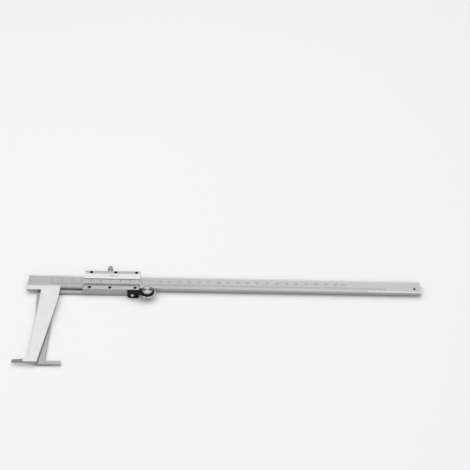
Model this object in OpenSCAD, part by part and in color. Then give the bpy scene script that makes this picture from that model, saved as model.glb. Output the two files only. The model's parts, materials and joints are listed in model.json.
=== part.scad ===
// Inside caliper with a vernier slide, for bores and grooves.
// Two crossed jaws lie one behind the other below the beam. The front one is fixed to the beam and its
// foot points left; the rear one hangs on the slide and its foot points right. A reading is taken over
// the two tips, so the jaws start crossed at the smallest reading and part as the slide moves right.
// Design frame: x from the jaws' centre line, y up from the beam's lower edge, z up from the back.

/* [Beam] */
// Overall length of the beam
beam_l = 401.5; // [380:0.5:460]
// Width of the beam between its two guide edges
beam_w = 17.3; // [14:0.1:20]
// Thickness of the beam
beam_t = 3.4; // [3:0.1:5]
// Length of beam that stands left of the jaws' centre line
beam_left = 22.3; // [18:0.1:30]
// Width of the raised land along each edge of the beam's face
land_w = 1.8; // [1:0.1:2.6]
// Depth of the scale panel below the lands
panel_depth = 0.15; // [0.05:0.05:0.4]
// Chamfer along the beam's long edges
beam_chamfer = 0.3; // [0.1:0.05:0.6]

/* [Jaws] */
// Smallest reading: the distance over the two tips with the jaws closed
reading_min = 47; // [44:1:60]
// Depth from the beam's lower edge to the top of the feet
jaw_depth = 98.8; // [60:0.1:140]
// Thickness of each jaw
jaw_t = 3.1; // [2.8:0.1:4]
// Running gap between the two jaws
jaw_gap = 0.2; // [0.1:0.05:0.4]
// Distance from the centre line to the straight outer edge of each leg
leg_outer = 7.6; // [6:0.1:10]
// Width of each jaw at its root
root_w = 19; // [16:0.1:24]
// Width of each leg at the foot
leg_foot_w = 8.5; // [7:0.1:11]
// Length of the parallel root below the arm's upper edge
root_straight = 0.8; // [0.5:0.1:10]
// Length of the curve that blends the root into the taper
root_blend = 25; // [10:0.5:40]
// Height of the fixed jaw's head below the beam
head_h = 4.2; // [3:0.1:9]
// Fillet in the inner corners of the jaws
jaw_fillet = 1.2; // [0.5:0.1:2]

/* [Feet] */
// Height of each foot
foot_h = 4.3; // [3:0.1:6]
// Full-thickness length of the foot beyond the leg
foot_shoulder = 4.9; // [3:0.1:8]
// Step down from the jaw's face to the start of the tip blade
tip_step = 1.3; // [0.6:0.1:1.8]
// Thickness of the blade at the tip
tip_t = 0.8; // [0.4:0.1:1.2]
// Radius of the tip's corners
tip_r = 0.6; // [0.2:0.1:1.2]

/* [Slide] */
// Distance from the centre line to the slide's left end with the jaws closed
slider_x = 34.4; // [26:0.1:50]
// Length of the slide
slider_l = 57.3; // [52:0.1:80]
// Running clearance of the slide around the beam
slide_gap = 0.1; // [0.05:0.05:0.2]
// Thickness of the rail above the beam
upper_rail_t = 4.8; // [3.2:0.1:6]
// Thickness of the rail below the beam
lower_rail_t = 5.2; // [5:0.1:9]
// Thickness of the two front plates
plate_t = 1.9; // [1.4:0.1:2.4]
// Width of upper plate that laps over the beam
upper_lip = 4.5; // [3.5:0.1:6]
// Width of lower plate that laps over the beam
lower_lip = 5.1; // [2:0.1:6]
// Width of the flat screw strip on the upper plate
upper_flat = 4.6; // [3.4:0.1:5.4]
// Width of the flat screw strip on the lower plate
lower_flat = 5.2; // [4.2:0.1:8]
// Inset of the steep bevel along the lower plate's outer edge
lower_bevel = 0.9; // [0.4:0.1:1.2]
// Thickness of a front plate at its thin reading edge
lip_edge_t = 0.4; // [0.2:0.05:0.6]
// Chamfer along the outer edges of the slide
slider_chamfer = 0.25; // [0.1:0.05:0.5]
// Gap between the beam's lower edge and the arm of the sliding jaw
arm_gap = 1.2; // [1:0.1:3]
// Length of the arm's tongue that is let into the slide
tongue_l = 22; // [18:0.5:26]
// Clearance of a piece in its seat
seat_gap = 0.05; // [0.02:0.01:0.1]
// Thickness of the gib strip between the beam and the upper rail
gib_t = 0.7; // [0.5:0.1:1.2]
// Distance of the gib's ends from the ends of the slide
gib_inset = 1; // [0.5:0.1:3]

/* [Fasteners] */
// Radius of the screw heads in the front plates
plate_head_r = 1.4; // [1.2:0.1:1.6]
// Depth of the screw heads in the front plates
plate_head_h = 0.9; // [0.6:0.1:1]
// Distance of the left plate screws from the slide's left end
screw_inset_left = 6.8; // [4:0.1:9]
// Distance of the right plate screws from the slide's right end
screw_inset_right = 4.2; // [3:0.1:8]
// Distance of the upper middle screw from the slide's left end
upper_mid_screw = 31.7; // [31:0.1:36]
// Distance of the lower middle screw from the slide's left end
lower_mid_screw = 27.5; // [26:0.1:34]
// Radius of the shanks of the small screws
shank_r = 0.9; // [0.7:0.05:1]
// Depth of thread in the slide
thread_depth = 2.6; // [2:0.1:2.8]
// Large radius of the countersunk screw heads behind the tongue
jaw_head_r = 1.6; // [1.4:0.1:1.8]
// Distance of the first tongue screw from the slide's left end
jaw_screw_inset = 11.5; // [10.5:0.1:13]
// Distance between the two tongue screws
jaw_screw_pitch = 6.5; // [5:0.1:7]
// Radius of the head of the stop screw at the beam's right end
stop_head_r = 1.25; // [1.1:0.05:2.4]
// Height of the head of the stop screw
stop_head_h = 0.9; // [0.5:0.1:1.4]
// Distance of the stop screw from the beam's right end
stop_inset = 6.5; // [4:0.1:12]
// Distance of the stop screw above the beam's lower edge
stop_y = 5.8; // [5:0.1:7]

/* [Lock] */
// Distance of the lock screw from the slide's left end
lock_x = 25.4; // [24:0.1:28]
// Radius of the lock screw's stem
lock_r = 1.4; // [1.1:0.1:1.5]
// Length of stem between the slide and the knob, with the screw slack
lock_reach = 4.4; // [3:0.1:9]
// Radius of the knurled knob
lock_knob_r = 2.8; // [2.4:0.1:4]
// Length of the knurled knob
lock_knob_l = 4.2; // [3:0.1:7]
// Thickness of the pad that the lock screw presses on the gib
pad_t = 0.6; // [0.4:0.1:0.9]
// Gap between the pad and the gib, with the screw slack
pad_gap = 0.25; // [0.22:0.01:0.5]
// Distance of each gib screw from the lock screw
gib_screw_pitch = 13; // [11:0.1:15]
// Radius of the gib screws
gib_screw_r = 1; // [0.8:0.1:1.2]

/* [Roller] */
// Radius of the knurled thumb wheel in front of the beam
wheel_r = 8.4; // [7:0.1:9]
// Thickness of the wheel
wheel_t = 1.2; // [1.2:0.1:2]
// Gap between the thumb wheel and the beam's face
wheel_gap = 0.1; // [0.05:0.05:0.2]
// Radius of the drive roller that runs on the beam's lower edge
drive_r = 6.4; // [5:0.1:6.8]
// Height of the drive roller
drive_t = 2.1; // [1.6:0.1:2.8]
// Gap between the drive roller and the beam's lower edge
drive_gap = 0.1; // [0.05:0.05:0.2]
// Gap between the wheel and the end of the slide
wheel_end_gap = 0.2; // [0.2:0.05:0.8]
// Radius of the turned cap
cap_r = 5.6; // [4.4:0.1:6.2]
// Thickness of the turned cap
cap_t = 2; // [1.2:0.1:2.4]
// Chamfer round the cap's rim
cap_chamfer = 0.5; // [0.3:0.1:0.8]
// Distance of the cap's ring groove from its rim
groove_inset = 1.6; // [1.4:0.1:2.2]
// Radius of the axle
axle_r = 1.5; // [1.2:0.1:1.8]
// Running clearance of a shaft in its bore
shaft_gap = 0.05; // [0.02:0.01:0.08]
// Radius of the washer under the cap
washer_r = 3.2; // [2.6:0.1:4]
// Thickness of the washer under the cap
washer_t = 0.2; // [0.2:0.05:0.6]
// Thickness of the bracket's plate
bracket_t = 1; // [0.8:0.1:1.4]
// Thickness of the bracket's flange
flange_t = 3; // [2:0.1:4]
// Radius of the bracket's lug
lug_r = 6.8; // [6.2:0.1:7.6]
// Length of the flange along the slide
flange_l = 11.5; // [9.5:0.1:14]
// Radius of the flange's lower corners
flange_r = 2.6; // [1:0.1:3]
// Distance of the bracket screw from the flange's left end
bracket_screw_x = 5.1; // [3.4:0.1:5.4]
// Height of the bracket screw above the back of the slide
bracket_screw_z = 4.8; // [2.4:0.1:5.2]
// Radius of the bracket screw's head
bracket_head_r = 1.6; // [1.3:0.1:2]
// Height of the bracket screw's head
bracket_head_h = 0.9; // [0.6:0.1:1.4]

/* [Knurling] */
// Number of ridges round the wheel
wheel_ridges = 64; // [40:2:80]
// Number of ridges round the lock screw's knob
lock_ridges = 28; // [20:2:36]
// Depth of the ridges
ridge_depth = 0.35; // [0.2:0.05:0.5]
// Plain chamfered band beside the ridges
ridge_edge = 0.3; // [0.2:0.05:0.5]

/* [Hidden] */

$fn = 48;
cut = 1;              // overshoot of a cutting solid past the face that it cuts
slot_w = 0.5;         // width of a screwdriver slot
slot_depth = 0.4;     // depth of a screwdriver slot
head_recess = 0.1;    // depth of a screw head below the plate around it
arc_step = 15;        // angle of one step along a rounded corner
ridge_step = 0.2;     // step from the bottom of the ridges down to the plain band beside them
groove_w = 0.5;       // width of each flank of the groove in the cap
groove_depth = 0.15;  // depth of the groove in the cap
dimple_r = 0.9;       // radius of the dimple in the middle of the cap
dimple_depth = 0.25;  // depth of the dimple in the middle of the cap
pin_share = 0.65;     // share of a cap's or knob's thickness that its pin enters

// Levels from the back of the tool to its front
face_z = 2 * jaw_t + jaw_gap;
beam_z = face_z - beam_t;
panel_z = face_z - panel_depth;
channel_z = beam_z - slide_gap;
rail_z = face_z + slide_gap;
front_z = rail_z + plate_t;
mid_z = beam_z + beam_t / 2;

// Levels across the beam, from the arm's side to the lock screw's side
gib_y = beam_w + slide_gap;
channel_top = gib_y + gib_t + slide_gap;
slider_top = channel_top + upper_rail_t;
channel_low = -slide_gap;
slider_low = channel_low - lower_rail_t;
pad_y = gib_y + gib_t + pad_gap;
stem_y = pad_y + pad_t;
lock_knob_y = slider_top + lock_reach;
stem_top = lock_knob_y + lock_knob_l * pin_share;
foot_low = -jaw_depth - foot_h;
blend_y = -arm_gap - root_straight - root_blend / 2;

// Places along the beam
tip_x = reading_min / 2;
beam_right = beam_l - beam_left;
slider_end = slider_x + slider_l;
roller_x = slider_end + wheel_end_gap + wheel_r;
roller_y = -drive_gap - drive_r;
flange_x = slider_end - flange_l - wheel_end_gap;
flange_y = slider_low - flange_t;
upper_screw_y = slider_top - upper_flat / 2;
lower_screw_y = slider_low + lower_bevel + lower_flat / 2;
upper_screws_x = [screw_inset_left, upper_mid_screw, slider_l - screw_inset_right];
lower_screws_x = [screw_inset_left, lower_mid_screw, slider_l - screw_inset_right];
jaw_screw_y = (slider_low - arm_gap) / 2;
jaw_screws_x = [for (i = [0:1]) jaw_screw_inset + i * jaw_screw_pitch];
gib_screws_x = [for (side = [-1, 1]) lock_x + side * gib_screw_pitch];

// Heights of the roller's pieces, from the drive roller up to the cap
wheel_z = face_z + wheel_gap;
drive_z = wheel_z - drive_t;
lug_z = wheel_z + wheel_t + shaft_gap;
bracket_top = lug_z + bracket_t;
washer_z = bracket_top + shaft_gap;
cap_z = washer_z + washer_t;
axle_top = cap_z + cap_t * pin_share;

// Middle of the tool seen from the front, which is the part's origin
centre = [
    (beam_right - max(tip_x, beam_left)) / 2,
    (lock_knob_y + lock_knob_l + foot_low) / 2
];

// Colours as the tool shows them
beam_colour = [0.74, 0.74, 0.73];
jaw_colour = [0.88, 0.88, 0.87];
arm_colour = [0.7, 0.7, 0.69];
plate_colour = [0.84, 0.84, 0.84];
frame_colour = [0.66, 0.66, 0.66];
black_colour = [0.1, 0.1, 0.11];
bright_colour = [0.8, 0.8, 0.8];
chrome_colour = [0.85, 0.86, 0.88];
bronze_colour = [0.72, 0.55, 0.3];

// Shift from the design frame to the part's own origin
module place() {
    translate([-centre.x, -centre.y, 0]) children();
}

// Extrudes a (y, z) profile along the beam
module along_beam(x, length) {
    translate([x, 0, 0]) rotate([90, 0, 90]) linear_extrude(length) children();
}

// Turns a solid that stands along +z so that it stands along +y
module across_beam(x, y, z) {
    translate([x, y, z]) rotate([-90, 0, 0]) children();
}

function unit(v) = v / norm(v);

// Points of the arc of radius r that rounds the corner c between the points before and after it
function corner_arc(before, c, after, r) =
    let (
        u = unit(before - c),
        v = unit(after - c),
        opening = acos(u * v),
        middle = c + unit(u + v) * r / sin(opening / 2),
        start = c + u * r / tan(opening / 2) - middle,
        turn = sign(v.x * u.y - v.y * u.x) * (180 - opening),
        steps = max(3, ceil(abs(turn) / arc_step)),
        from = atan2(start.y, start.x)
    )
    [for (i = [0:steps]) middle + r * [cos(from + turn * i / steps), sin(from + turn * i / steps)]];

// Radius of the arc that touches both sides of the corner c at the distance reach from it
function blend_radius(before, c, after, reach) =
    reach * tan(acos(unit(before - c) * unit(after - c)) / 2);

// Outline through corners given as [x, y, radius], a radius of 0 leaving the corner sharp
function rounded(corners) =
    let (n = len(corners), p = [for (c = corners) [c.x, c.y]])
    [
        for (i = [0:n - 1])
            each corners[i].z == 0 ? [p[i]]
                : corner_arc(p[(i + n - 1) % n], p[i], p[(i + 1) % n], corners[i].z)
    ];

// Zigzag outline of a straight knurl
function knurl_outline(r, ridges) =
    let (step = 180 / ridges)
    [for (i = [0:2 * ridges - 1]) (r - (i % 2) * ridge_depth) * [cos(i * step), sin(i * step)]];

// Disc of radius r along +z with chamfered plain edges and a knurled band between them
module knurled_disc(r, thickness, ridges) {
    core_r = r - ridge_depth - ridge_step;
    rotate_extrude()
        polygon([
            [0, 0], [core_r - ridge_edge, 0], [core_r, ridge_edge], [core_r, thickness - ridge_edge],
            [core_r - ridge_edge, thickness], [0, thickness]
        ]);
    translate([0, 0, ridge_edge])
        linear_extrude(thickness - 2 * ridge_edge) polygon(knurl_outline(r, ridges));
}

// Slotted screw along -z with the top of its head at z = 0
module slotted_screw(head_r, head_h, stem_r, length) {
    difference() {
        union() {
            translate([0, 0, -head_h]) cylinder(r = head_r, h = head_h);
            translate([0, 0, -length]) cylinder(r = stem_r, h = length - head_h / 2);
        }
        translate([-head_r - cut, -slot_w / 2, -slot_depth])
            cube([2 * (head_r + cut), slot_w, slot_depth + cut]);
    }
}

// Jaw whose foot points along -x, with its mating face at z = 0 and its outer face at z = jaw_t
module jaw(top, strip_low, strip_l) {
    root_x = root_w - leg_outer;
    foot_x = leg_foot_w - leg_outer;
    blend_r = blend_radius([root_x, top], [root_x, blend_y], [foot_x, foot_low], root_blend / 2);
    blade_x = leg_outer + foot_shoulder;
    blade_t = jaw_t - tip_step;
    slope = (blade_t - tip_t) / (tip_x - blade_x);
    outline = rounded([
        [-leg_outer - strip_l, top, 0],
        [-leg_outer - strip_l, strip_low, 0],
        [-leg_outer, strip_low, jaw_fillet],
        [-leg_outer, -jaw_depth, jaw_fillet],
        [-tip_x, -jaw_depth, tip_r],
        [-tip_x, foot_low, tip_r],
        [foot_x, foot_low, tip_r],
        [root_x, blend_y, blend_r],
        [root_x, top, 0]
    ]);
    difference() {
        linear_extrude(jaw_t) polygon(outline);
        translate([0, -jaw_depth + cut, 0]) rotate([90, 0, 0]) linear_extrude(foot_h + 2 * cut)
            polygon([
                [-blade_x, jaw_t + cut],
                [-blade_x, blade_t],
                [-tip_x - cut, tip_t - slope * cut],
                [-tip_x - cut, jaw_t + cut]
            ]);
    }
}

module beam() {
    c = beam_chamfer;
    color(beam_colour) place() difference() {
        along_beam(-beam_left, beam_l) polygon([
            [c, beam_z], [beam_w - c, beam_z], [beam_w, beam_z + c],
            [beam_w, face_z - c], [beam_w - c, face_z],
            [beam_w - land_w, face_z], [beam_w - land_w - panel_depth, panel_z],
            [land_w + panel_depth, panel_z], [land_w, face_z],
            [0, face_z], [0, beam_z + c]
        ]);
        translate([beam_right - stop_inset, stop_y, beam_z - cut])
            cylinder(r = shank_r + seat_gap, h = beam_t + 2 * cut);
    }
}

module fixed_jaw() {
    color(jaw_colour) place() translate([0, 0, face_z - jaw_t])
        jaw(0, -head_h, beam_left - leg_outer);
}

module end_stop_screw() {
    color(black_colour) place()
        translate([beam_right - stop_inset, stop_y, panel_z + stop_head_h])
            slotted_screw(stop_head_r, stop_head_h, shank_r, stop_head_h + panel_z - beam_z);
}

module slider_frame() {
    c = slider_chamfer;
    color(frame_colour) place() difference() {
        along_beam(slider_x, slider_l) polygon([
            [slider_low + c, 0], [slider_top - c, 0], [slider_top, c], [slider_top, rail_z],
            [channel_top, rail_z], [channel_top, channel_z],
            [channel_low, channel_z], [channel_low, rail_z],
            [slider_low, rail_z], [slider_low, c]
        ]);
        translate([slider_x - cut, slider_low - cut, -cut])
            cube([
                tongue_l + seat_gap + cut,
                cut - slider_low - arm_gap + seat_gap,
                jaw_t + seat_gap + cut
            ]);
        plate_screw_holes(upper_screws_x, upper_screw_y);
        plate_screw_holes(lower_screws_x, lower_screw_y);
        for (x = jaw_screws_x)
            translate([slider_x + x, jaw_screw_y, jaw_t])
                cylinder(r = shank_r + seat_gap, h = thread_depth - seat_gap);
        for (x = gib_screws_x)
            across_beam(slider_x + x, channel_top - cut, mid_z)
                cylinder(r = gib_screw_r + seat_gap, h = upper_rail_t + 2 * cut);
        across_beam(slider_x + lock_x, channel_top - cut, mid_z)
            cylinder(r = lock_r + shaft_gap, h = upper_rail_t + 2 * cut);
        across_beam(flange_x + bracket_screw_x, slider_low - cut, bracket_screw_z)
            cylinder(r = shank_r + seat_gap, h = thread_depth + cut);
    }
}

module plate_screw_holes(places, y) {
    for (x = places)
        translate([slider_x + x, y, rail_z - thread_depth])
            cylinder(r = shank_r + seat_gap, h = thread_depth + cut);
}

// Sunk seats for the heads and shanks of the screws in a front plate
module plate_screw_seats(places, y) {
    for (x = places)
        translate([slider_x + x, y, 0]) {
            translate([0, 0, rail_z - cut]) cylinder(r = shank_r + seat_gap, h = plate_t + 2 * cut);
            translate([0, 0, front_z - head_recess - plate_head_h])
                cylinder(r = plate_head_r + seat_gap, h = plate_head_h + head_recess + cut);
        }
}

module plate_screws(places, y) {
    length = plate_t - head_recess + thread_depth - seat_gap;
    for (x = places)
        translate([slider_x + x, y, front_z - head_recess])
            slotted_screw(plate_head_r, plate_head_h, shank_r, length);
}

module upper_plate() {
    c = slider_chamfer;
    lip_y = beam_w - upper_lip;
    color(plate_colour) place() difference() {
        along_beam(slider_x, slider_l) polygon([
            [slider_top, rail_z], [slider_top, front_z - c], [slider_top - c, front_z],
            [slider_top - upper_flat, front_z], [lip_y, rail_z + lip_edge_t], [lip_y, rail_z]
        ]);
        plate_screw_seats(upper_screws_x, upper_screw_y);
    }
}

module lower_plate() {
    edge_y = slider_low + lower_bevel;
    color(plate_colour) place() difference() {
        along_beam(slider_x, slider_l) polygon([
            [slider_low, rail_z], [lower_lip, rail_z], [lower_lip, rail_z + lip_edge_t],
            [edge_y + lower_flat, front_z], [edge_y, front_z], [slider_low, rail_z + slider_chamfer]
        ]);
        plate_screw_seats(lower_screws_x, lower_screw_y);
    }
}

module upper_plate_screws() {
    color(black_colour) place() plate_screws(upper_screws_x, upper_screw_y);
}

module lower_plate_screws() {
    color(black_colour) place() plate_screws(lower_screws_x, lower_screw_y);
}

module gib_strip() {
    color(bronze_colour) place()
        translate([slider_x + gib_inset, gib_y, channel_z + slide_gap])
            cube([slider_l - 2 * gib_inset, gib_t, rail_z - channel_z - 2 * slide_gap]);
}

module gib_screws() {
    head_h = 2 * slot_depth;
    length = slider_top - head_recess - gib_y - gib_t;
    color(bright_colour) place()
        for (x = gib_screws_x)
            across_beam(slider_x + x, slider_top - head_recess, mid_z)
                slotted_screw(gib_screw_r, head_h, gib_screw_r, length);
}

// The arm and its tongue are the strip beside the leg, let into the lower rail from behind
module sliding_jaw() {
    color(arm_colour) place() difference() {
        translate([0, 0, jaw_t]) rotate([0, 180, 0])
            jaw(-arm_gap, slider_low, slider_x + tongue_l - leg_outer);
        for (x = jaw_screws_x)
            translate([slider_x + x, jaw_screw_y, 0]) {
                translate([0, 0, -cut]) cylinder(r = shank_r + seat_gap, h = jaw_t + 2 * cut);
                cylinder(r1 = jaw_head_r + seat_gap, r2 = shank_r + seat_gap, h = jaw_head_r - shank_r);
            }
    }
}

module jaw_screws() {
    sunk = head_recess;
    color(bright_colour) place()
        for (x = jaw_screws_x)
            translate([slider_x + x, jaw_screw_y, 0]) difference() {
                union() {
                    translate([0, 0, sunk])
                        cylinder(r1 = jaw_head_r - sunk, r2 = shank_r, h = jaw_head_r - shank_r - sunk);
                    translate([0, 0, sunk]) cylinder(r = shank_r, h = jaw_t + thread_depth - 2 * sunk);
                }
                translate([-jaw_head_r, -slot_w / 2, -cut])
                    cube([2 * jaw_head_r, slot_w, slot_depth + sunk + cut]);
            }
}

// Blackened bracket: a flange screwed under the slide and a plate that carries the roller's axle
module roller_bracket() {
    corner_z = slider_chamfer;
    plate_low = roller_y - lug_r;
    neck_top = roller_y + lug_r / 2;
    color(black_colour) place() difference() {
        union() {
            translate([0, slider_low, 0]) rotate([90, 0, 0]) linear_extrude(flange_t) polygon(rounded([
                [flange_x, bracket_top, 0],
                [flange_x, corner_z, flange_r],
                [flange_x + flange_l, corner_z, flange_r],
                [flange_x + flange_l, bracket_top, 0]
            ]));
            translate([0, 0, lug_z]) linear_extrude(bracket_t) {
                translate([roller_x, roller_y]) circle(r = lug_r);
                polygon([
                    [flange_x, flange_y], [flange_x, slider_low],
                    [slider_end + seat_gap, slider_low], [slider_end + seat_gap, neck_top],
                    [roller_x, neck_top], [roller_x, plate_low]
                ]);
            }
        }
        translate([roller_x, roller_y, lug_z - cut])
            cylinder(r = axle_r + shaft_gap, h = bracket_t + 2 * cut);
        across_beam(flange_x + bracket_screw_x, flange_y - cut, bracket_screw_z)
            cylinder(r = shank_r + seat_gap, h = flange_t + 2 * cut);
    }
}

module bracket_screw() {
    length = bracket_head_h + flange_t + thread_depth - seat_gap;
    color(bright_colour) place()
        translate([flange_x + bracket_screw_x, flange_y - bracket_head_h, bracket_screw_z])
            rotate([90, 0, 0]) slotted_screw(bracket_head_r, bracket_head_h, shank_r, length);
}

module roller_wheel() {
    color(bright_colour) place() translate([roller_x, roller_y, wheel_z]) difference() {
        knurled_disc(wheel_r, wheel_t, wheel_ridges);
        translate([0, 0, -cut]) cylinder(r = axle_r + seat_gap / 2, h = wheel_t + 2 * cut);
    }
}

// Plain roller behind the thumb wheel, which runs on the beam's lower edge
module drive_roller() {
    color(bright_colour) place() translate([roller_x, roller_y, drive_z]) difference() {
        cylinder(r = drive_r, h = drive_t);
        translate([0, 0, -cut]) cylinder(r = axle_r + seat_gap / 2, h = drive_t + 2 * cut);
    }
}

module roller_axle() {
    color(bright_colour) place() translate([roller_x, roller_y, drive_z])
        cylinder(r = axle_r, h = axle_top - drive_z);
}

module roller_washer() {
    color(bronze_colour) place() translate([roller_x, roller_y, washer_z]) difference() {
        cylinder(r = washer_r, h = washer_t);
        translate([0, 0, -cut]) cylinder(r = axle_r + seat_gap, h = washer_t + 2 * cut);
    }
}

// Turned cap with a chamfered rim, one ring groove and a centre dimple
module roller_cap() {
    groove_r = cap_r - groove_inset;
    color(chrome_colour) place() translate([roller_x, roller_y, cap_z]) difference() {
        rotate_extrude() polygon([
            [0, 0], [cap_r, 0], [cap_r, cap_t - cap_chamfer], [cap_r - cap_chamfer, cap_t],
            [groove_r + groove_w, cap_t], [groove_r, cap_t - groove_depth], [groove_r - groove_w, cap_t],
            [dimple_r, cap_t], [0, cap_t - dimple_depth]
        ]);
        translate([0, 0, -cut]) cylinder(r = axle_r + seat_gap / 2, h = cut + axle_top - cap_z);
    }
}

module lock_pad() {
    color(bronze_colour) place() across_beam(slider_x + lock_x, pad_y, mid_z)
        cylinder(r = lock_r, h = pad_t);
}

module lock_stem() {
    color(bright_colour) place() across_beam(slider_x + lock_x, stem_y, mid_z)
        cylinder(r = lock_r, h = stem_top - stem_y);
}

module lock_knob() {
    color(chrome_colour) place() across_beam(slider_x + lock_x, lock_knob_y, mid_z) difference() {
        knurled_disc(lock_knob_r, lock_knob_l, lock_ridges);
        translate([0, 0, -cut]) cylinder(r = lock_r + seat_gap / 2, h = cut + stem_top - lock_knob_y);
    }
}

beam();
fixed_jaw();
end_stop_screw();
slider_frame();
upper_plate();
lower_plate();
upper_plate_screws();
lower_plate_screws();
gib_strip();
gib_screws();
sliding_jaw();
jaw_screws();
roller_bracket();
bracket_screw();
roller_wheel();
drive_roller();
roller_axle();
roller_washer();
roller_cap();
lock_pad();
lock_stem();
lock_knob();
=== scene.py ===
import json
import math

import bmesh
import bpy
from mathutils import Matrix, Vector

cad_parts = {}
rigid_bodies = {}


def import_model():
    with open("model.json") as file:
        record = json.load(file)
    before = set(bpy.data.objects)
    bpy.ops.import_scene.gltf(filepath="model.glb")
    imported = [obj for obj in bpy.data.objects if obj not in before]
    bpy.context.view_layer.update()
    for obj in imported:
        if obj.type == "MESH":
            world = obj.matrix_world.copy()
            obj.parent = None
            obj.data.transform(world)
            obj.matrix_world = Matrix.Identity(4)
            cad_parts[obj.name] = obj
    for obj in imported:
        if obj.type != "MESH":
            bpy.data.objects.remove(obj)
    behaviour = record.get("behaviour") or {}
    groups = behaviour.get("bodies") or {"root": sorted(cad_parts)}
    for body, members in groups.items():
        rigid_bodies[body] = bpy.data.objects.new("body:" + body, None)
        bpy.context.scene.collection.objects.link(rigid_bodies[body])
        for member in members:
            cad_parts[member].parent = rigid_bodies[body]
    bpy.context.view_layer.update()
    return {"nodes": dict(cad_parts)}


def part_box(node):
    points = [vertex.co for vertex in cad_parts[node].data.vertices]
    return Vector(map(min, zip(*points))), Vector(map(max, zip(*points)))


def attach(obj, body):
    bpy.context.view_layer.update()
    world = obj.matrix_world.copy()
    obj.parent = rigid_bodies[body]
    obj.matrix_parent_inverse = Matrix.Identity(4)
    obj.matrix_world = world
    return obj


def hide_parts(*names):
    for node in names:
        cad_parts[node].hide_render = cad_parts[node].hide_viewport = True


# Looks of the inside caliper: satin and matt steel, engraved scales, threads, knurls and softened edges.
# Lengths are millimetres in the design frame of the part's source: x from the jaws' centre line, y up from the
# beam's lower edge, z up from the back. at() turns them into metres of the part's frame. The shaders, the floor
# and the lights are in metres.

for leftover in list(bpy.data.objects):
    bpy.data.objects.remove(leftover)

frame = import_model()

# Sizes of the solids

MM = 0.001
BEAM_LEFT = -22.3
BEAM_W = 17.3
LAND_W = 1.8
PANEL_Z = 6.25
JAW_ROOT_X = 11.4
SLIDE_X = 34.4  # the slide's left end at rest
BLADE_X = 12.5
FOOT_Y = -98.8
LIP_Z = 6.9
FRONT_Z = 8.4
LOWER_LIP_Y = 5.1
LOWER_BEVEL_Y = 0.8
UPPER_LIP_Y = 12.8
UPPER_BEVEL_Y = 18.4
SEATS = [(41.2, 20.7), (66.1, 20.7), (87.5, 20.7), (41.2, -1.8), (61.9, -1.8), (87.5, -1.8)]
SEAT_R = 1.45
PIN_SHARE = 0.65  # share of the cap's or knob's thickness that its pin enters

BEAM_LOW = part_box("beam")[0]
ORIGIN = Vector((BEAM_LOW.x - BEAM_LEFT * MM, BEAM_LOW.y, 0.0))


def at(x, y, z):
    return ORIGIN + Vector((x, y, z)) * MM


def centre_of(node):
    low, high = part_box(node)
    return (low + high) / 2


def extents(node):
    """A node's size along x, y and z, in millimetres."""
    low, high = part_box(node)
    return [(b - a) / MM for a, b in zip(low, high)]


# Materials

STREAK_SCALE = 1000.0
CLOUD_SCALE = 70.0
DOT_SCALE = 6000.0
# Reach and grey of the painted shade in corners and recesses.
CORNER_SHADE_REACH = 0.0012
CORNER_SHADE_GREY = 0.05
WEAR_REACH = 0.00022
BUMP_HEIGHT = 0.00004


def add(tree, kind, settings=None, **inputs):
    """Adds a node, sets its properties, and sets or links its inputs. In an input's name a space is written as an
    underscore, and _0 is the first input."""
    node = tree.nodes.new(kind)
    for name, value in (settings or {}).items():
        setattr(node, name, value)
    for name, value in inputs.items():
        key = int(name[1:]) if name[0] == "_" else name.replace("_", " ")
        socket = node.inputs[key]
        if isinstance(value, bpy.types.NodeSocket):
            tree.links.new(value, socket)
        else:
            socket.default_value = value
    return node


def grey(level, warmth=0.0):
    return (level * (1 + warmth), level, level * (1 - warmth), 1.0)


def ramp(tree, factor, low, high, start=0.3, end=0.7):
    node = add(tree, "ShaderNodeValToRGB", Fac=factor)
    for element, position, colour in zip(node.color_ramp.elements, (start, end), (low, high)):
        element.position = position
        element.color = colour
    return node.outputs["Color"]


def spread(tree, factor, low, high, start=0.3, end=0.7):
    node = add(tree, "ShaderNodeMapRange", Value=factor, From_Min=start, From_Max=end, To_Min=low, To_Max=high)
    return node.outputs["Result"]


def mix(tree, factor, a, b, mode="MIX"):
    node = add(tree, "ShaderNodeMix", {"data_type": "RGBA", "blend_type": mode}, _0=factor, _6=a, _7=b)
    return node.outputs[2]


def noise(tree, vector, scale, detail):
    node = add(tree, "ShaderNodeTexNoise", Vector=vector, Scale=scale, Detail=detail, Roughness=0.6)
    return node.outputs["Fac"]


def arithmetic(tree, operation, a, b):
    return add(tree, "ShaderNodeMath", {"operation": operation}, _0=a, _1=b).outputs["Value"]


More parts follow.
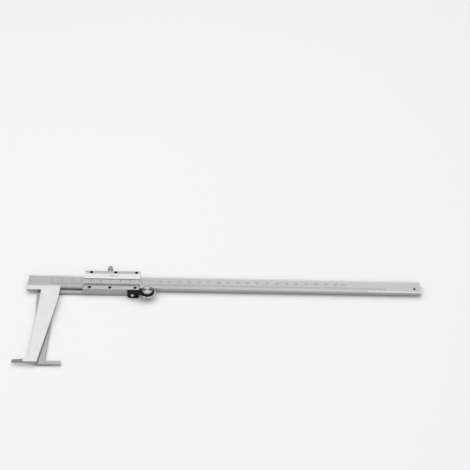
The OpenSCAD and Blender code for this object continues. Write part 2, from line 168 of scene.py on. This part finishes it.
def finish(name, base, rough, grain, contrast, bump, speckle=0.0, metallic=1.0, wear=1.25, corner_shade=0.45, warmth=0.0,
           turned=0.0, rough_swing=0.08):
    """Metal with a directional grain, cloudy handling marks, brighter worn edges, and painted shade that darkens
    its corners and recesses.
    """
    material = bpy.data.materials.new(name)
    material.use_nodes = True
    tree = material.node_tree
    bsdf = tree.nodes["Principled BSDF"]
    bsdf.inputs["Metallic"].default_value = metallic
    if turned:
        rings = add(tree, "ShaderNodeTangent", {"direction_type": "RADIAL", "axis": "Z"}).outputs["Tangent"]
        tree.links.new(rings, bsdf.inputs["Tangent"])
        bsdf.inputs["Anisotropic"].default_value = turned
        bsdf.inputs["Anisotropic Rotation"].default_value = 0.25
    place = add(tree, "ShaderNodeTexCoord").outputs["Object"]
    stretched = add(tree, "ShaderNodeMapping", Vector=place, Scale=grain).outputs["Vector"]
    streak = noise(tree, stretched, STREAK_SCALE, 5.0)
    cloud = noise(tree, place, CLOUD_SCALE, 4.0)
    dots = noise(tree, place, DOT_SCALE, 2.0)

    colour = ramp(tree, streak, grey(base * (1 - contrast), warmth), grey(base * (1 + contrast), warmth))
    colour = mix(tree, 0.5, colour, ramp(tree, cloud, grey(0.86), grey(1.0)), "MULTIPLY")
    if speckle:
        colour = mix(tree, speckle, colour, ramp(tree, dots, grey(0.8), grey(1.15)), "MULTIPLY")
    # Painted shade: the colour darkens towards a dark grey where ambient occlusion finds corners, creases and
    # recesses.
    shut = add(tree, "ShaderNodeAmbientOcclusion", {"samples": 6}, Distance=CORNER_SHADE_REACH).outputs["AO"]
    shade_mask = spread(tree, shut, corner_shade, 0.0, 0.25, 0.85)
    colour = mix(tree, shade_mask, colour, grey(CORNER_SHADE_GREY, 0.06))
    soft = add(tree, "ShaderNodeBevel", {"samples": 4}, Radius=WEAR_REACH).outputs["Normal"]
    true = add(tree, "ShaderNodeNewGeometry").outputs["True Normal"]
    same = add(tree, "ShaderNodeVectorMath", {"operation": "DOT_PRODUCT"}, _0=soft, _1=true).outputs["Value"]
    edge = spread(tree, same, 1.0, 0.0, 0.82, 0.985)
    worn = arithmetic(tree, "MULTIPLY", edge, spread(tree, cloud, 0.25, 0.9))
    colour = mix(tree, worn, colour, grey(min(1.0, base * wear)))
    tree.links.new(colour, bsdf.inputs["Base Color"])

    matt = spread(tree, streak, rough - rough_swing, rough + rough_swing)
    matt = arithmetic(tree, "ADD", matt, spread(tree, cloud, -0.04, 0.05))
    tree.links.new(matt, bsdf.inputs["Roughness"])

    height = mix(tree, 0.5 if speckle else 0.0, streak, dots)
    normal = add(tree, "ShaderNodeBump", Height=height, Strength=bump, Distance=BUMP_HEIGHT).outputs["Normal"]
    tree.links.new(normal, bsdf.inputs["Normal"])
    return material


ALONG = (0.06, 6.0, 6.0)
EVEN = (3.0, 3.0, 3.0)

# Each finish has a name, a grey, a roughness, a grain, the grain's contrast and its bump.
PANEL = finish("satin_panel", 0.545, 0.42, ALONG, 0.07, 0.12, corner_shade=0.1)
LAND = finish("ground_land", 0.53, 0.34, ALONG, 0.10, 0.10)
# A lighter copy of the land's finish: painted sheen.
LIT_LAND = finish("land_painted_sheen", 0.72, 0.36, ALONG, 0.08, 0.10, metallic=0.4, corner_shade=0.2)
SIDE = finish("ground_side", 0.43, 0.30, ALONG, 0.08, 0.10, corner_shade=0.1)
# A lighter copy of the side's finish: painted light.
LIT_SIDE = finish("side_painted_light", 0.88, 0.26, ALONG, 0.06, 0.08, corner_shade=0.05)
EDGE = finish("ground_edge", 0.36, 0.36, ALONG, 0.10, 0.12)
JAW = finish("matt_chrome_jaw", 0.80, 0.48, EVEN, 0.04, 0.10, speckle=0.35, metallic=0.35, corner_shade=0.4)
ARM = finish("ground_arm", 0.46, 0.42, ALONG, 0.06, 0.12, speckle=0.2, corner_shade=0.15)
TIP = finish("lapped_tip", 0.34, 0.26, EVEN, 0.03, 0.04)
PLATE = finish("matt_chrome_plate", 0.55, 0.42, ALONG, 0.05, 0.10, speckle=0.2, corner_shade=0.15)
CHANNEL = finish("ground_frame", 0.39, 0.38, ALONG, 0.09, 0.12)
BRIGHT = finish("bright_turned", 0.62, 0.25, EVEN, 0.06, 0.06)
KNURL = finish("plated_knurl", 0.56, 0.22, EVEN, 0.05, 0.06, corner_shade=0.75)
CHROME = finish("turned_chrome", 0.36, 0.14, EVEN, 0.04, 0.03, turned=0.5, rough_swing=0.03)
KNOB = finish("plated_knob", 0.55, 0.26, EVEN, 0.05, 0.06, corner_shade=0.75)
BRONZE = finish("plain_bronze", 0.42, 0.35, ALONG, 0.08, 0.08, warmth=0.45)
# Black oxide of the screw heads; the plates' screw seats are painted with it too, as painted shade.
BLACK_AND_SEAT_SHADE = finish("black_oxide_and_seat_shade", 0.010, 0.42, EVEN, 0.2, 0.1, speckle=0.3, wear=2.0, corner_shade=0.3)
WORN = finish("worn_black", 0.17, 0.40, EVEN, 0.2, 0.1, speckle=0.3, wear=2.0, corner_shade=0.3)
BRACKET = finish("black_bracket", 0.018, 0.42, EVEN, 0.2, 0.1, speckle=0.3, wear=2.5, corner_shade=0.3)
INK = finish("engraved_fill", 0.02, 0.6, EVEN, 0.15, 0.0, metallic=0.0, wear=1.0, corner_shade=0.0)
NUMERAL = finish("numeral_fill", 0.15, 0.6, EVEN, 0.15, 0.0, metallic=0.0, wear=1.0, corner_shade=0.0)

# Meshes

FLAT_ANGLE = 0.5
BEVEL_ANGLE = 30
SAME_POINT = 1e-6  # metres, as is the next value
FINE_SAME_POINT = 1e-7
MARK_T = 0.04
MARK_MIDDLE = -0.005  # height of a mark's middle over its face
LETTER_HALF_T = 0.015


def put(name, data):
    """Makes an object of a mesh, curve, lamp or camera and sets it in the scene."""
    obj = bpy.data.objects.new(name, data)
    bpy.context.scene.collection.objects.link(obj)
    return obj


def piece(name, bm, material, body, nodes=(), smooth_angle=35):
    """Makes a piece from a bmesh, gives it a finish, and sets it on a body in place of CAD nodes."""
    mesh = bpy.data.meshes.new(name)
    bmesh.ops.recalc_face_normals(bm, faces=bm.faces[:])
    bm.to_mesh(mesh)
    bm.free()
    mesh.shade_smooth()
    mesh.set_sharp_from_angle(angle=math.radians(smooth_angle))
    obj = put(name, mesh)
    mesh.materials.append(material)
    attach(obj, body)
    if nodes:
        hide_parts(*nodes)
    return obj


def cad_copy(node):
    """A node's solid as a bmesh with flat faces joined, ready to be bevelled."""
    bm = bmesh.new()
    bm.from_mesh(frame["nodes"][node].data)
    bmesh.ops.remove_doubles(bm, verts=bm.verts[:], dist=SAME_POINT)
    bmesh.ops.dissolve_limit(bm, angle_limit=math.radians(FLAT_ANGLE), verts=bm.verts[:], edges=bm.edges[:])
    return bm


def soften(obj, width):
    """Rounds a piece's edges, keeping its flat faces flat."""
    bevel = obj.modifiers.new("round", "BEVEL")
    bevel.width = width * MM
    bevel.segments = 2
    bevel.limit_method = "ANGLE"
    bevel.angle_limit = math.radians(BEVEL_ANGLE)
    weld = obj.modifiers.new("weld", "WELD")
    weld.merge_threshold = SAME_POINT
    flat = obj.modifiers.new("flat", "WEIGHTED_NORMAL")
    flat.weight = 100
    mesh = bpy.data.meshes.new_from_object(obj.evaluated_get(bpy.context.evaluated_depsgraph_get()))
    obj.modifiers.clear()
    obj.data = mesh
    return obj


def dress(node, name, material, body, width):
    """Shows a node as a copy with rounded edges."""
    return soften(piece(name, cad_copy(node), material, body, [node]), width)


def paint(obj, extras, choose):
    """Gives some faces another finish. choose gets a face's middle in design millimetres and its normal, and
    returns one of the extras, or None for the piece's own finish."""
    for material in extras:
        obj.data.materials.append(material)
    order = [None, *extras]
    for face in obj.data.polygons:
        face.material_index = order.index(choose((face.center - ORIGIN) / MM, face.normal))


def keep(node, material):
    """Shows a CAD node itself, with a finish of its own."""
    for slot in frame["nodes"][node].material_slots:
        slot.material = material


def revolve(profile, steps, matrix, loop=False):
    """Solid of revolution about z. The profile lists (z, radius), where radius is a number or a function of the
    angle. A loop joins its end to its start."""
    bm = bmesh.new()
    rows = []
    for z, radius in profile:
        row = []
        for i in range(steps):
            turn = 2 * math.pi * i / steps
            r = radius(turn) if callable(radius) else radius
            row.append(bm.verts.new((r * MM * math.cos(turn), r * MM * math.sin(turn), z * MM)))
        rows.append(row)
    pairs = list(zip(rows, rows[1:])) + ([(rows[-1], rows[0])] if loop else [])
    for a, b in pairs:
        for i in range(steps):
            k = (i + 1) % steps
            bm.faces.new((a[i], a[k], b[k], b[i]))
    bmesh.ops.remove_doubles(bm, verts=bm.verts[:], dist=FINE_SAME_POINT)
    bm.transform(matrix)
    return bm


def mirrored(profile, thickness):
    """A profile and its mirror image in the middle of a disc's thickness."""
    return profile + [(thickness - z, radius) for z, radius in reversed(profile)]


def tri(turns):
    """Triangle wave from 0 to 1 and back over one turn."""
    return 1 - abs(2 * (turns % 1.0) - 1)


def marks(boxes, matrix):
    """Thin filled marks, each given as (x0, x1, y0, y1) on the face that the matrix stands on."""
    bm = bmesh.new()
    for x0, x1, y0, y1 in boxes:
        size = Matrix.Diagonal(((x1 - x0) * MM, (y1 - y0) * MM, MARK_T * MM, 1))
        spot = Matrix.Translation(Vector(((x0 + x1) / 2, (y0 + y1) / 2, MARK_MIDDLE)) * MM)
        bmesh.ops.create_cube(bm, size=1.0, matrix=matrix @ spot @ size)
    return bm


def lettering(words, size, matrix):
    """Words as thin filled shapes, each given as (text, x, y) on the face that the matrix stands on."""
    made = []
    for text, x, y in words:
        curve = bpy.data.curves.new("number", "FONT")
        curve.body = text
        curve.size = size * MM
        curve.extrude = LETTER_HALF_T * MM
        curve.resolution_u = 2
        curve.align_x = "CENTER"
        curve.align_y = "CENTER"
        made.append((put("number", curve), curve, matrix @ Matrix.Translation(Vector((x, y, 0)) * MM)))
    graph = bpy.context.evaluated_depsgraph_get()
    bm = bmesh.new()
    for obj, _, spot in made:
        mesh = bpy.data.meshes.new_from_object(obj.evaluated_get(graph))
        mesh.transform(spot)
        bm.from_mesh(mesh)
        bpy.data.meshes.remove(mesh)
    for obj, curve, _ in made:
        bpy.data.objects.remove(obj)
        bpy.data.curves.remove(curve)
    bmesh.ops.remove_doubles(bm, verts=bm.verts[:], dist=FINE_SAME_POINT)
    return bm


def face_frame(origin, up):
    """Frame on a face: x along the beam, y along the vector up, z out of the face."""
    x = Vector((1, 0, 0))
    y = Vector(up).normalized()
    turn = Matrix((x, y, x.cross(y))).transposed().to_4x4()
    return Matrix.Translation(origin) @ turn


def turn_islands(bm, axis, angles):
    """Turns each loose solid about its own axis, so that screw slots stand as they were driven."""
    left = set(bm.verts)
    for angle in angles:
        if not left:
            break
        seed = min(left, key=lambda v: (round(v.co.x, 5), v.index))
        island, stack = {seed}, [seed]
        while stack:
            for edge in stack.pop().link_edges:
                for v in edge.verts:
                    if v not in island:
                        island.add(v)
                        stack.append(v)
        left -= island
        low = Vector(min(v.co[k] for v in island) for k in range(3))
        high = Vector(max(v.co[k] for v in island) for k in range(3))
        bmesh.ops.rotate(bm, verts=list(island), cent=(low + high) / 2,
                         matrix=Matrix.Rotation(math.radians(angle), 3, axis))


# The beam and its scale

BEAM_ROUND = 0.1
JAW_ROUND = 0.15
STOP_ROUND = 0.15
SHEEN_X = 325.0  # right of this the lower land gets a lighter copy of its finish, painted sheen
FINISH_MARGIN = 0.1
UPRIGHT = 0.5  # a face is an edge of its plate where its normal's z is smaller than this
BLADE_SLOPE = 0.03

rail = cad_copy("beam")
for x in (JAW_ROOT_X, SLIDE_X, SHEEN_X):
    everything = rail.verts[:] + rail.edges[:] + rail.faces[:]
    bmesh.ops.bisect_plane(rail, geom=everything, plane_co=at(x, 0, 0), plane_no=(1, 0, 0))
beam = soften(piece("beam_rail", rail, PANEL, "beam", ["beam"]), BEAM_ROUND)


def beam_finish(spot, normal):
    """Sides, lands and, left of the jaw's root, the jaw's pale finish on the lower land. Lighter copies are
    painted on the upper land and the lower land's right end, painted sheen, and on the lower side between the jaw
    and the slide, painted light. The rest is the panel.
    """
    if abs(normal.z) < UPRIGHT:
        # Painted light: the lower side between the jaw's root and the slide gets a lighter copy of the side's
        # finish.
        return LIT_SIDE if normal.y < -UPRIGHT and JAW_ROOT_X < spot.x < SLIDE_X else SIDE
    if normal.z < 0:
        return LAND
    if LAND_W + FINISH_MARGIN < spot.y < BEAM_W - LAND_W - FINISH_MARGIN:
        return None
    # Painted sheen: the upper land and the lower land's right end get a lighter copy of the land's finish.
    if spot.y > BEAM_W / 2 or spot.x > SHEEN_X:
        return LIT_LAND
    return JAW if spot.x < JAW_ROOT_X else LAND


def jaw_finish(spot, normal):
    """Ground edges and the relieved blade of the tip. The rest is the jaw's face."""
    if abs(normal.z) < UPRIGHT:
        return EDGE
    return TIP if abs(spot.x) > BLADE_X and spot.y < FOOT_Y and abs(normal.x) > BLADE_SLOPE else None


paint(beam, [LAND, SIDE, JAW, LIT_SIDE, LIT_LAND], beam_finish)
jaw = dress("fixed_jaw", "fixed_jaw_plate", JAW, "beam", JAW_ROUND)
paint(jaw, [EDGE, TIP], jaw_finish)
stop = cad_copy("end_stop_screw")
turn_islands(stop, "Z", [25])
soften(piece("beam_stop_screw", stop, WORN, "beam", ["end_stop_screw"]), STOP_ROUND)

SCALE_ZERO = -8.05
SCALE_FROM = 10
SCALE_TO = 350
TICK_W = 0.18
TICK_LOW = 3.8
TICK_TOPS = {1: 6.3, 5: 7.0, 10: 7.8}
NUMBER_Y = 10.4
NUMBER_SIZE = 4.2
LAST_NUMBER = 30
UNIT_AT = 307.5
panel = face_frame(at(0, 0, PANEL_Z), (0, 1, 0))
ticks = []
for n in range(SCALE_FROM, SCALE_TO + 1):
    top = TICK_TOPS[10 if n % 10 == 0 else 5 if n % 5 == 0 else 1]
    x = SCALE_ZERO + n
    ticks.append((x - TICK_W / 2, x + TICK_W / 2, TICK_LOW, top))
piece("beam_scale_ticks", marks(ticks, panel), INK, "beam")
labels = [(str(n), SCALE_ZERO + 10 * n, NUMBER_Y) for n in range(1, LAST_NUMBER + 1)]
labels.append(("mm", SCALE_ZERO + UNIT_AT, NUMBER_Y))
piece("beam_scale_numbers", lettering(labels, NUMBER_SIZE, panel), NUMERAL, "beam")

# The slide, its plates and vernier

CHANNEL_ROUND = 0.12
PLATE_ROUND = 0.1
BRACKET_ROUND = 0.2
SCREW_ROUND = 0.12
SEAT_CHAMFER = 0.3
RIM_MARGIN = 0.05
FRONT_MARGIN = 0.01
LEVEL = 0.95  # a face lies level where its normal's z is at least this

dress("slider_frame", "slide_channel", CHANNEL, "slide", CHANNEL_ROUND)


def seat_distance(spot):
    return min(math.hypot(spot.x - x, spot.y - y) for x, y in SEATS)


def on_seat_rim(edge):
    """Whether an edge of a plate runs along a screw seat's rim, its middle too."""
    a, b = [(v.co - ORIGIN) / MM for v in edge.verts]
    return all(seat_distance(spot) < SEAT_R + RIM_MARGIN and spot.z > FRONT_Z - FRONT_MARGIN
               for spot in (a, b, (a + b) / 2))


def plate_finish(spot, normal):
    """The seats' walls and chamfers round the screws are painted black, painted shade in these recesses. The rest
    is the plate.
    """
    return BLACK_AND_SEAT_SHADE if seat_distance(spot) < SEAT_R + SEAT_CHAMFER + FINISH_MARGIN and normal.z < LEVEL else None


for node, name in (("upper_plate", "upper_vernier_plate"), ("lower_plate", "lower_vernier_plate")):
    shape = cad_copy(node)
    rims = [edge for edge in shape.edges if on_seat_rim(edge)]
    bmesh.ops.bevel(shape, geom=rims, offset=SEAT_CHAMFER * MM, segments=1, affect="EDGES")
    plate = soften(piece(name, shape, PLATE, "slide", [node]), PLATE_ROUND)
    # Painted shade: the seats' walls and chamfers are painted black.
    paint(plate, [BLACK_AND_SEAT_SHADE], plate_finish)
arm = dress("sliding_jaw", "sliding_jaw_plate", ARM, "slide", JAW_ROUND)
paint(arm, [EDGE, TIP], jaw_finish)
dress("roller_bracket", "roller_bracket_plate", BRACKET, "slide", BRACKET_ROUND)
for node, name, material, slot, axis, angles in (
    ("upper_plate_screws", "upper_screw_heads", BLACK_AND_SEAT_SHADE, "black_steel", "Z", (20, 118, 62)),
    ("lower_plate_screws", "lower_screw_heads", BLACK_AND_SEAT_SHADE, "black_steel", "Z", (75, 150, 35)),
    ("gib_screws", "gib_screw_heads", BRIGHT, "bright_steel", "Y", (40, 115)),
    ("jaw_screws", "jaw_screw_heads", BRIGHT, "bright_steel", "Z", (65, 10)),
    ("bracket_screw", "bracket_screw_head", BRIGHT, "bright_steel", "Y", (35,)),
):
    screw = cad_copy(node)
    turn_islands(screw, axis, angles)
    soften(piece(name, screw, material, "slide", [node]), SCREW_ROUND)
keep("gib_strip", BRONZE)

SMALLEST_READING = 47
VERNIER_ZERO = SCALE_ZERO + SMALLEST_READING
VERNIER_STEP = 0.98
VERNIER_STEPS = 50
NUMBERED_STEP = 5  # each such step of the vernier has a longer mark and a number
VERNIER_TICK_W = 0.12
VERNIER_TICK_TOP = -0.02
VERNIER_TICK_LONG = 1.9
VERNIER_TICK_SHORT = 1.3
VERNIER_NUMBER_Y = -2.85
VERNIER_NUMBER_SIZE = 1.9
lower_face = face_frame(at(0, LOWER_LIP_Y, LIP_Z), (0, LOWER_LIP_Y - LOWER_BEVEL_Y, LIP_Z - FRONT_Z))
vernier = []
for n in range(VERNIER_STEPS + 1):
    x = VERNIER_ZERO + VERNIER_STEP * n
    depth = VERNIER_TICK_LONG if n % NUMBERED_STEP == 0 else VERNIER_TICK_SHORT
    vernier.append((x - VERNIER_TICK_W / 2, x + VERNIER_TICK_W / 2, -depth, VERNIER_TICK_TOP))
piece("vernier_ticks", marks(vernier, lower_face), INK, "slide")
words = []
for n in range(VERNIER_STEPS // NUMBERED_STEP + 1):
    words.append((str(n % 10), VERNIER_ZERO + VERNIER_STEP * NUMBERED_STEP * n, VERNIER_NUMBER_Y))
piece("vernier_numbers", lettering(words, VERNIER_NUMBER_SIZE, lower_face), INK, "slide")

READING_STEP = [("0.02 mm", 64.5, 3.4)]
READING_STEP_SIZE = 2.6
upper_face = face_frame(at(0, UPPER_LIP_Y, LIP_Z), (0, UPPER_BEVEL_Y - UPPER_LIP_Y, FRONT_Z - LIP_Z))
piece("reading_step", lettering(READING_STEP, READING_STEP_SIZE, upper_face), INK, "slide")

# The roller

AXLE_BORE_R = 1.55
WHEEL_RIDGES = 64
WHEEL_RIM_STEP = 0.55
DRIVE_RIDGES = 96
RIDGE_SHARP = 28
CAP_BORE_R = 1.53
CAP_SHARP = 40
CAP_STEPS = 96
RING_PITCH = 0.18
RING_DIP = 0.045
GROOVE_DIP = 0.12

WHEEL_D, _, WHEEL_T = extents("roller_wheel")
DRIVE_D, _, DRIVE_T = extents("drive_roller")
CAP_D, _, CAP_T = extents("roller_cap")
WHEEL_R, DRIVE_R, CAP_R = WHEEL_D / 2, DRIVE_D / 2, CAP_D / 2
hub = centre_of("roller_wheel")


def on_axle(node):
    """Places a profile's zero where the axle's middle meets a node's lower face."""
    return Matrix.Translation(Vector((hub.x, hub.y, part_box(node)[0].z)))


def ridged(radius, depth, count):
    return lambda turn: radius - depth * tri(count * turn / (2 * math.pi) + 0.5)


rim = WHEEL_R - WHEEL_RIM_STEP
profile = mirrored([
    (0.0, AXLE_BORE_R), (0.0, rim - 0.3), (0.08, rim - 0.2), (0.27, rim - 0.02),
    (0.3, ridged(WHEEL_R - 0.1, 0.33, WHEEL_RIDGES)), (0.4, ridged(WHEEL_R, 0.38, WHEEL_RIDGES)),
], WHEEL_T)
piece("thumb_wheel", revolve(profile, WHEEL_RIDGES * 6, on_axle("roller_wheel"), loop=True), KNURL, "roller",
      ["roller_wheel"], RIDGE_SHARP)

profile = mirrored([
    (0.0, AXLE_BORE_R), (0.0, DRIVE_R - 0.4), (0.3, DRIVE_R - 0.15), (0.4, ridged(DRIVE_R, 0.14, DRIVE_RIDGES)),
], DRIVE_T)
piece("drive_roller_rim", revolve(profile, DRIVE_RIDGES * 4, on_axle("drive_roller"), loop=True), BRIGHT, "roller",
      ["drive_roller"], RIDGE_SHARP)

profile = [(CAP_T - 0.25, 0.0), (CAP_T - 0.2, 0.45), (CAP_T - 0.02, 0.9)]
GROOVE_R = CAP_R - 1.6
r = 0.98
while r < CAP_R - 1.0:
    dip = GROOVE_DIP if abs(r - GROOVE_R) < RING_PITCH else RING_DIP
    profile += [(CAP_T, r), (CAP_T - dip, r + RING_PITCH / 2)]
    r += RING_PITCH
profile += [
    (CAP_T, CAP_R - 0.85), (CAP_T - 0.06, CAP_R - 0.55), (CAP_T - 0.28, CAP_R - 0.2), (CAP_T - 0.55, CAP_R - 0.03),
    (CAP_T - 0.7, CAP_R), (0.14, CAP_R), (0.0, CAP_R - 0.14),
    (0.0, CAP_BORE_R), (CAP_T * PIN_SHARE, CAP_BORE_R), (CAP_T * PIN_SHARE, 0.0),
]
piece("roller_turned_cap", revolve(profile, CAP_STEPS, on_axle("roller_cap")), CHROME, "roller",
      ["roller_cap"], CAP_SHARP)
keep("roller_axle", BRIGHT)
keep("roller_washer", BRONZE)

# The lock screw

THREAD_PITCH = 0.45
THREAD_DEPTH = 0.24
THREAD_ROWS = 6  # rows of points in one pitch
THREAD_STEPS = 24
THREAD_SHARP = 60
PLAIN_L = 2.4
PLAIN_STEP = 0.1
KNOB_BORE_R = 1.43
KNOB_RIDGES = 26
KNOB_ROWS = 26
KNOB_EDGE = 0.3
KNOB_SHARP = 25
KNURL_DEPTH = 0.36
KNURL_SLANT = 0.5

STEM_D, STEM_L, _ = extents("lock_stem")
_, KNOB_L, KNOB_D = extents("lock_knob")
STEM_R, KNOB_R = STEM_D / 2, KNOB_D / 2
stem_middle = centre_of("lock_stem")
stand = Matrix.Rotation(math.radians(-90), 4, "X")


def on_stem(node):
    """Places a profile's zero where the stem's middle meets a node's lower end, with z along the stem."""
    return Matrix.Translation(Vector((stem_middle.x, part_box(node)[0].y, stem_middle.z))) @ stand


def thread(z):
    return lambda turn: STEM_R - THREAD_DEPTH * tri(z / THREAD_PITCH - turn / (2 * math.pi))


def diamond(z):
    """Radius of a diamond knurl: two crossed sets of helical ridges."""
    slant = KNURL_SLANT * z

    def radius(turn):
        a = KNOB_RIDGES * turn / (2 * math.pi)
        return KNOB_R - KNURL_DEPTH * max(tri(a + slant), tri(a - slant)) ** 2

    return radius


profile = [(0.0, 0.0), (0.0, STEM_R - 0.45), (0.25, STEM_R - THREAD_DEPTH)]
z = 0.3
while z < STEM_L - PLAIN_L:
    profile.append((z, thread(z)))
    z += THREAD_PITCH / THREAD_ROWS
profile += [
    (STEM_L - PLAIN_L + 0.05, STEM_R - PLAIN_STEP), (STEM_L, STEM_R - PLAIN_STEP), (STEM_L, 0.0),
]
piece("lock_stem_thread", revolve(profile, THREAD_STEPS, on_stem("lock_stem")), BRIGHT, "lock_screw",
      ["lock_stem"], THREAD_SHARP)

profile = [
    (KNOB_L * PIN_SHARE, 0.0), (KNOB_L * PIN_SHARE, KNOB_BORE_R), (0.0, KNOB_BORE_R),
    (0.0, KNOB_R - 0.75), (0.25, KNOB_R - 0.45),
]
for i in range(KNOB_ROWS + 1):
    z = KNOB_EDGE + (KNOB_L - 2 * KNOB_EDGE) * (i / KNOB_ROWS)
    profile.append((z, diamond(z)))
profile += [
    (KNOB_L - 0.25, KNOB_R - 0.45), (KNOB_L, KNOB_R - 0.75), (KNOB_L, KNOB_R - 1.3),
    (KNOB_L - 0.2, KNOB_R - 1.55), (KNOB_L - 0.25, 0.0),
]
piece("lock_knurled_knob", revolve(profile, KNOB_RIDGES * 6, on_stem("lock_knob")), KNOB,
      "lock_screw", ["lock_knob"], KNOB_SHARP)
keep("lock_pad", BRONZE)

# Floor, light and camera

FLOOR_SIZE = 14.0
FLOOR_DROP = 0.00002
FLOOR_GREY = 0.92
half = FLOOR_SIZE / 2
corners = [(-half, -half, 0), (half, -half, 0), (half, half, 0), (-half, half, 0)]
floor_mesh = bpy.data.meshes.new("floor")
floor_mesh.from_pydata(corners, [], [(0, 1, 2, 3)])
floor = put("floor", floor_mesh)
floor.location.z = -FLOOR_DROP
floor_material = bpy.data.materials.new("pale_floor")
floor_material.use_nodes = True
floor_bsdf = floor_material.node_tree.nodes["Principled BSDF"]
floor_bsdf.inputs["Base Color"].default_value = grey(FLOOR_GREY)
floor_bsdf.inputs["Roughness"].default_value = 0.9
floor_bsdf.inputs["Specular IOR Level"].default_value = 0.1
floor_mesh.materials.append(floor_material)

SKY_LOW_GREY = 0.28
SKY_HIGH_GREY = 1.0
SKY_STRENGTH = 0.59
world = bpy.data.worlds.new("studio")
bpy.context.scene.world = world
world.use_nodes = True
tree = world.node_tree
direction = add(tree, "ShaderNodeTexCoord").outputs["Generated"]
rise = add(tree, "ShaderNodeSeparateXYZ", Vector=direction).outputs["Z"]
sky = ramp(tree, rise, grey(SKY_LOW_GREY), grey(SKY_HIGH_GREY), 0.05, 0.9)
background = tree.nodes["Background"]
tree.links.new(sky, background.inputs["Color"])
background.inputs["Strength"].default_value = SKY_STRENGTH


def softbox(name, place, target, size, power):
    light = bpy.data.lights.new(name, "AREA")
    light.shape = "RECTANGLE"
    light.size, light.size_y = size
    light.energy = power
    obj = put(name, light)
    obj.location = place
    obj.rotation_euler = (Vector(target) - Vector(place)).to_track_quat("-Z", "Y").to_euler()


softbox("overhead", (-0.25, 0.3, 1.35), (-0.13, 0.1, 0), (2.7, 1.5), 15.9)
softbox("front_fill", (0.4, -1.3, 0.9), (0, 0, 0), (1.0, 0.8), 4.1)

CAMERA_PLACE = (176.620, -848.745, 815.437)
CAMERA_TURN = (49.0929, -1.1500, 0.2592)
FOCAL_PX = 1150.0
IMAGE_PX = 470
SENSOR = 36.0
camera_data = bpy.data.cameras.new("camera")
camera_data.sensor_width = SENSOR
camera_data.lens = SENSOR * FOCAL_PX / IMAGE_PX
camera_data.clip_start = 0.01
camera = put("camera", camera_data)
camera.location = at(*CAMERA_PLACE)
camera.rotation_euler = [math.radians(a) for a in CAMERA_TURN]
bpy.context.scene.camera = camera
bpy.context.scene.view_settings.view_transform = "Standard"
